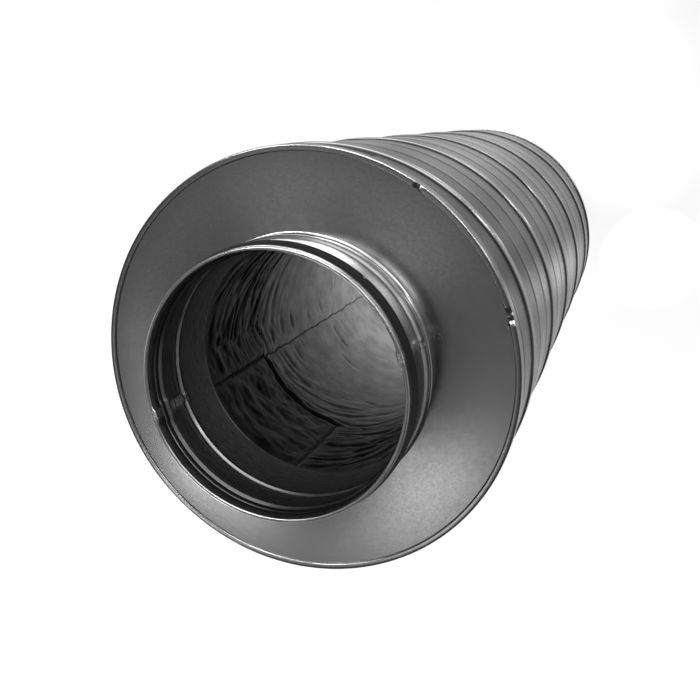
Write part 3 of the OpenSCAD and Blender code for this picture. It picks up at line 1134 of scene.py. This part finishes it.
@dataclass
class Lining:
    """The three wool pieces and the tissue on each."""

    joint_turn: float = 197.0
    infill: float = 57.0
    radius: float = 79.4
    low: float = 49.1
    high: float = 644.9
    joint_z: float = 530.0
    gap: float = 1.3
    mouth_gap: float = 0.9
    touch: float = 0.1
    front_grid: Span = (1.5, 1.2)
    infill_grid: Span = (1.2, 1.2)
    rear_grid: Span = (2.4, 2.3)
    rear_grade: float = 0.5
    black: GlassTissue = GlassTissue("glass_tissue_fleece_black", "#313131", dark="#1d1d1d")
    batts: tuple[str, ...] = ("front_wool_batt", "infill_wool_batt", "rear_wool_batt")
    folds: tuple[Fold, ...] = (
        Fold(212.0, 386.0, 26.0, 4.0, 1.5),
        Fold(230.0, 409.0, 24.0, 5.0, 0.8),
        Fold(253.0, 501.0, 14.0, -25.0, 1.3),
        Fold(260.0, 471.0, 12.0, 20.0, 1.0),
        Fold(188.0, 508.0, 11.0, 8.0, 1.8, 1.8),
        Fold(187.0, 488.0, 16.0, 4.0, 2.2, 2.2),
        Fold(187.0, 467.0, 14.0, 0.0, 1.9),
        Fold(189.0, 430.0, 9.0, -10.0, 1.2),
        Fold(188.5, 399.0, 12.0, -20.0, 1.6),
        Fold(206.0, 476.0, 16.0, -6.0, 0.9),
        Fold(202.0, 461.0, 14.0, 4.0, 0.7),
        Fold(178.0, 354.0, 16.0, 8.0, 0.9),
    )

    def facings(self) -> list[Facing]:
        """The tissue sheets, each short of its joints by half the gap."""
        trim = math.degrees(self.gap / 2 / self.radius)
        mouth = math.degrees(self.mouth_gap / 2 / self.radius)
        upper = self.joint_z + self.touch
        return [
            Facing(
                "front_tissue", "front_facing", self.joint_turn + self.infill + mouth,
                360 - self.infill - 2 * mouth, upper, self.high, self.front_grid,
                finish=self.black, open_low=False,
            ),
            Facing(
                "infill_tissue", "infill_facing", self.joint_turn + mouth,
                self.infill - 2 * mouth, upper + self.gap, self.high, self.infill_grid,
                finish=self.black, lumpy=True,
            ),
            Facing(
                "rear_tissue", "rear_facing", self.joint_turn + trim,
                360 - 2 * trim, self.low, self.joint_z - self.touch, self.rear_grid,
                grade=self.rear_grade, open_arc=(self.joint_turn, self.infill), folds=self.folds,
            ),
        ]

    def build(self) -> None:
        """Makes the tissue sheets and gives the wool its finish."""
        for facing in self.facings():
            facing.build()
        for name in self.batts:
            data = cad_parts[name].data
            data.materials.clear()
            data.materials.append(MineralWool().material())
            log.info("%s keeps its solid and gets the wool finish", name)


@dataclass(frozen=True)
class SoftBox:
    """Soft light: place, target and size in metres, power in watts, and which rays see it."""

    name: str
    place: Point
    target: Point
    width: float
    depth: float
    power: float
    glossy: bool = True
    diffuse: bool = True

    def hang(self) -> Object:
        """Makes the light and points it."""
        data = bpy.data.lights.new(self.name, "AREA")
        data.shape = "RECTANGLE"
        data.size = self.width
        data.size_y = self.depth
        data.energy = self.power
        data.spread = math.pi
        lamp = bpy.data.objects.new(self.name, data)
        lamp.location = self.place
        aim = Vector(self.target) - Vector(self.place)
        lamp.rotation_euler = aim.to_track_quat("-Z", "Y").to_euler()
        lamp.visible_camera = False
        lamp.visible_glossy = self.glossy
        lamp.visible_diffuse = self.diffuse
        bpy.context.scene.collection.objects.link(lamp)
        return lamp


def on_sphere(turn: float, rise: float, far: float, middle: Point) -> Point:
    """Point at a distance from the middle, at a turn and a rise in degrees."""
    a, e = math.radians(turn), math.radians(rise)
    ray = Vector((math.cos(a) * math.cos(e), math.sin(a) * math.cos(e), math.sin(e)))
    return tuple(Vector(middle) + ray * far)


@dataclass
class Studio:
    """Pale floor, soft light and the camera of the photograph.

    Banks are name, turn and power. Cards are name, turn, width, depth and power. Spots are a place on the
    ring that the lid mirrors, in degrees clockwise, and power. Panels are x, y and power.
    """

    floor_half: float = 6.0
    ambient: float = 0.05
    eye: Point = (0.1970, 0.1311, 1.1276)
    tilt: Point = (-12.69, 20.3, 0.0)
    lens: float = 45.80
    sensor: float = 36.0
    shift: Span = (0.0429, -0.0286)
    near: float = 0.01
    middle: Point = (0.0, 0.0, 0.35)
    bank_rise: float = 10.0
    bank_far: float = 2.4
    bank_size: float = 0.8
    banks: tuple[tuple[str, float, float], ...] = (
        ("left_bank", 225, 20.0),
        ("far_bank", 180, 6.0),
        ("back_bank", 90, 0.9),
    )
    card_rise: float = 28.0
    card_far: float = 1.6
    cards: tuple[tuple[str, float, float, float, float], ...] = (
        ("seam_strip", 28, 0.12, 0.9, 2.0),
        ("seam_card", 70, 1.6, 1.2, 12.0),
        ("side_card", 5, 2.4, 1.1, 3.6),
    )
    ceiling: float = 2.6
    lid_ring: Point = (-0.8, -0.53, 0.53)
    spot_size: float = 0.3
    spots: tuple[tuple[int, float], ...] = (
        (0, 0.05), (45, 0.64), (60, 0.13), (90, 0.04), (118, 0.5), (131, 1.4),
        (180, 0.18), (202, 0.06), (225, 0.05), (270, 0.12), (315, 0.13),
    )
    panel_size: float = 0.45
    panels: tuple[Point, ...] = (
        (-1.0, 1.0, 22.0), (-0.3, 1.4, 27.0), (0.0, 1.0, 11.0), (0.5, 0.5, 8.0), (1.0, 0.2, 0.5),
    )
    bore_lamp: SoftBox = SoftBox(
        "bore_lamp", (0.02, 0.015, 0.25), (0.02, 0.015, 1.0), 0.12, 0.12, 1.1, glossy=False
    )

    def overhead(self, name: str, x: float, y: float, size: float, power: float) -> SoftBox:
        """Square light at the ceiling that only mirroring surfaces see."""
        return SoftBox(name, (x, y, self.ceiling), (x, y, 0.0), size, size, power, diffuse=False)

    def lights(self) -> list[SoftBox]:
        """The soft boxes round the part, the panels overhead and the lamp in the bore."""
        boxes = []
        for name, turn, power in self.banks:
            place = on_sphere(turn, self.bank_rise, self.bank_far, self.middle)
            boxes.append(SoftBox(name, place, self.middle, self.bank_size, self.bank_size, power))
        for name, turn, width, depth, power in self.cards:
            place = on_sphere(turn, self.card_rise, self.card_far, self.middle)
            boxes.append(SoftBox(name, place, self.middle, width, depth, power, diffuse=False))
        x, y, ring = self.lid_ring
        for turn, power in self.spots:
            a = math.radians(-turn)
            spot = (x + ring * math.cos(a), y + ring * math.sin(a))
            boxes.append(self.overhead(f"lid_spot_{turn}", *spot, self.spot_size, power))
        for i, (x, y, power) in enumerate(self.panels):
            boxes.append(self.overhead(f"sleeve_panel_{i}", x, y, self.panel_size, power))
        return boxes + [self.bore_lamp]

    def lay_floor(self) -> None:
        """Makes the floor."""
        bm = bmesh.new()
        bmesh.ops.create_grid(bm, x_segments=1, y_segments=1, size=self.floor_half)
        mesh = bpy.data.meshes.new("studio_floor")
        bm.to_mesh(mesh)
        bm.free()
        mesh.materials.append(StudioFloor().material())
        floor = bpy.data.objects.new("studio_floor", mesh)
        bpy.context.scene.collection.objects.link(floor)

    def fill(self) -> None:
        """Makes the world's faint light."""
        world = bpy.data.worlds.new("studio")
        world.use_nodes = True
        tree = world.node_tree
        tree.nodes.clear()
        sky = add_node(tree, "ShaderNodeBackground", {"Color": linear(WHITE), "Strength": self.ambient})
        add_node(tree, "ShaderNodeOutputWorld", {"Surface": sky.outputs["Background"]})
        bpy.context.scene.world = world

    def set_camera(self) -> None:
        """Makes the camera that was fitted to the photograph."""
        data = bpy.data.cameras.new("camera")
        data.lens = self.lens
        data.sensor_width = self.sensor
        data.shift_x, data.shift_y = self.shift
        data.clip_start = self.near
        camera = bpy.data.objects.new("camera", data)
        camera.location = self.eye
        camera.rotation_mode = "YXZ"
        camera.rotation_euler = [math.radians(a) for a in self.tilt]
        bpy.context.scene.collection.objects.link(camera)
        bpy.context.scene.camera = camera

    def build(self) -> None:
        """Makes the floor, the world, the lights and the camera."""
        self.lay_floor()
        self.fill()
        for box in self.lights():
            box.hang()
        self.set_camera()
        bpy.context.scene.view_settings.view_transform = "Standard"


def main() -> None:
    """Builds the studio and each sub-assembly in order."""
    logging.basicConfig(level=logging.INFO, format="%(name)s %(relativeCreated)d ms: %(message)s")
    Studio().build()
    SpiralCasing().build()
    for end in End:
        EndPlate(end).build()
        Spigot(end).build()
        Gasket(end).build()
    Lining().build()


if __name__ == "__main__":
    main()
